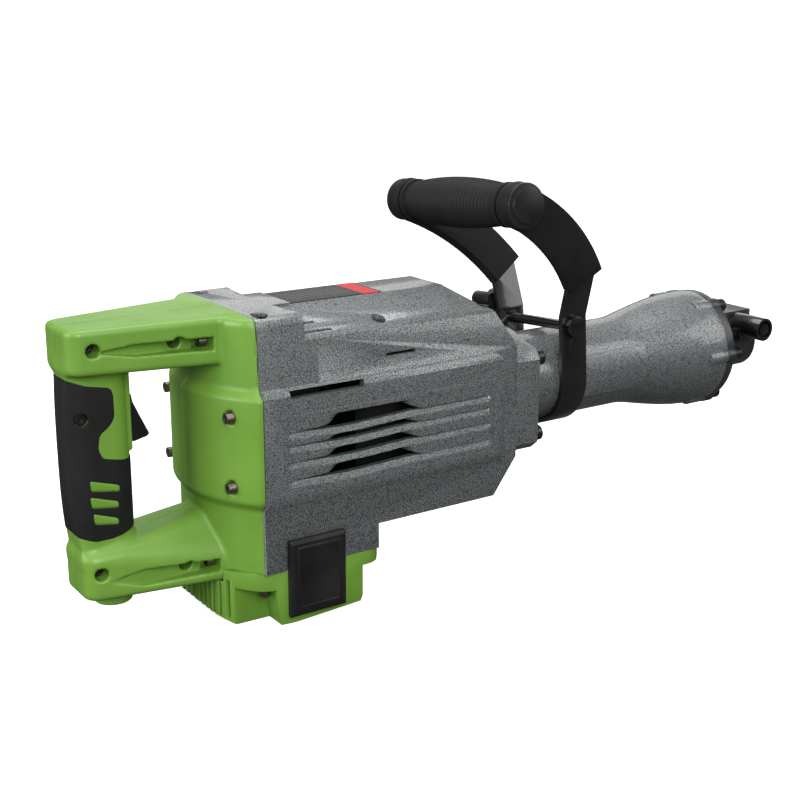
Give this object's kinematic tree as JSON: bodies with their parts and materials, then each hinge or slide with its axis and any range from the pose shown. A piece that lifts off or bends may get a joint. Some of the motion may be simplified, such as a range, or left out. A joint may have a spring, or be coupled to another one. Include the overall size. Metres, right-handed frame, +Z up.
{
  "type": "demolition hammer",
  "caption": "Two-handed electric demolition hammer: louvred motor body, D-handle with trigger, swivelling front grip, hexagonal tool socket with stop lever.",
  "frame": {"origin": "mouth of the hexagonal tool socket, on the tool axis", "axes": "+X along the tool axis out of the socket, +Z up with the machine lying level, -Y towards the side with the handle screws"},
  "size_m": [0.7092, 0.1781, 0.3247],
  "materials": {
    "hammertone_paint": "glossy grey hammertone enamel",
    "green_moulding": "satin moulded green nylon",
    "dark_rubber": "matte rubber",
    "black_moulding": "satin black nylon",
    "black_enamel": "gloss black enamel on steel",
    "slate_paint": "satin dark slate enamel",
    "machined_steel": "machined steel",
    "cast_alloy": "raw die-cast alloy",
    "plated_screw": "brownish grey plated steel",
    "copper_wire": "enamelled copper",
    "label_foil": "printed foil without text",
    "carbon": "pressed carbon"
  },
  "bodies": {
    "frame": {"housing": "hammertone_paint", "rating_label": "label_foil", "crankcase": "cast_alloy", "gear_cover": "cast_alloy", "motor_can": "cast_alloy", "barrel": "hammertone_paint", "front_cover": "slate_paint", "tool_sleeve": "machined_steel", "cushion_ring": "dark_rubber", "hammer_holder": "machined_steel", "cylinder_liner": "machined_steel", "handle_near": "green_moulding", "handle_far": "green_moulding", "grip_skin_near": "dark_rubber", "grip_skin_far": "dark_rubber", "tail_cover": "green_moulding", "brush_cover_near": "black_moulding", "brush_cover_far": "black_moulding", "brush_holders": "black_moulding", "carbon_brushes": "carbon", "handle_screws": "plated_screw", "cover_screws": "plated_screw", "roof_screws": "plated_screw", "tail_screws": "plated_screw", "flange_screws": "plated_screw", "nose_screws": "plated_screw", "stator_core": "machined_steel", "stator_coils": "copper_wire", "switch_body": "black_moulding", "bearing_armature_top": "machined_steel", "bearing_armature_bottom": "machined_steel", "bearing_crank": "machined_steel", "bearing_second_low": "machined_steel", "bearing_second_top": "machined_steel"},
    "trigger": {"trigger": "black_moulding"},
    "stop_lever": {"stop_lever": "black_enamel"},
    "front_handle": {"strap": "black_enamel", "arm_skin_near": "dark_rubber", "arm_skin_far": "dark_rubber", "grip_tube": "machined_steel", "grip_rubber": "dark_rubber", "grip_caps": "black_moulding", "tie_rod": "black_enamel"},
    "clamp_knob": {"clamp_knob": "black_moulding"},
    "armature": {"armature_shaft": "machined_steel", "armature_core": "machined_steel", "commutator": "copper_wire", "fan": "cast_alloy"},
    "second_shaft": {"second_gear": "machined_steel", "second_shaft": "machined_steel"},
    "crankshaft": {"crankshaft": "machined_steel", "crank_gear": "machined_steel"},
    "piston": {"piston": "machined_steel", "piston_pin": "machined_steel", "piston_rings": "dark_rubber"},
    "connecting_rod": {"connecting_rod": "cast_alloy", "crank_pin": "machined_steel"},
    "striker": {"striker": "machined_steel", "striker_rings": "dark_rubber"},
    "second_hammer": {"second_hammer": "machined_steel"}
  },
  "joints": [
    {"name": "trigger_pull", "type": "hinge", "parent": "frame", "child": "trigger", "pos_m": [-0.661, 0, 0.041], "axis": [0, 1, 0], "range_deg": [0, 12], "stiffness_Nm_per_rad": 0.6, "springref_deg": -14.32},
    {"name": "stop_lever_turn", "type": "hinge", "parent": "frame", "child": "stop_lever", "pos_m": [-0.028, 0, 0.022], "axis": [0, 1, 0], "range_deg": [0, 180]},
    {"name": "front_handle_turn", "type": "hinge", "parent": "frame", "child": "front_handle", "pos_m": [-0.256, 0, 0], "axis": [1, 0, 0], "continuous": true},
    {"name": "clamp_knob_turn", "type": "hinge", "parent": "front_handle", "child": "clamp_knob", "pos_m": [-0.256, 0.00365, 0.04636], "axis": [0, 0.9969, -0.0785], "continuous": true},
    {"name": "armature_spin", "type": "hinge", "parent": "frame", "child": "armature", "pos_m": [-0.537, 0, 0], "axis": [0, 0, 1], "continuous": true},
    {"name": "second_shaft_spin", "type": "hinge", "parent": "frame", "child": "second_shaft", "pos_m": [-0.5045, 0, 0.06], "axis": [0, 0, 1], "continuous": true},
    {"name": "crank_spin", "type": "hinge", "parent": "frame", "child": "crankshaft", "pos_m": [-0.4545, 0, 0.03], "axis": [0, 0, 1], "continuous": true},
    {"name": "piston_slide", "type": "slide", "parent": "frame", "child": "piston", "axis": [1, 0, 0], "range_m": [-0.034, 0]},
    {"name": "rod_swing", "type": "hinge", "parent": "piston", "child": "connecting_rod", "pos_m": [-0.3425, 0, 0], "axis": [0, 0, 1], "range_deg": [-10.3, 10.3]},
    {"name": "striker_slide", "type": "slide", "parent": "frame", "child": "striker", "axis": [1, 0, 0], "range_m": [-0.013, 0.015]},
    {"name": "second_hammer_slide", "type": "slide", "parent": "frame", "child": "second_hammer", "axis": [1, 0, 0], "range_m": [0, 0.006]}
  ],
  "couplings": [
    {"joint": "second_shaft_spin", "follows": "armature_spin", "ratio": -0.18182},
    {"joint": "crank_spin", "follows": "armature_spin", "ratio": 0.039911}
  ]
}
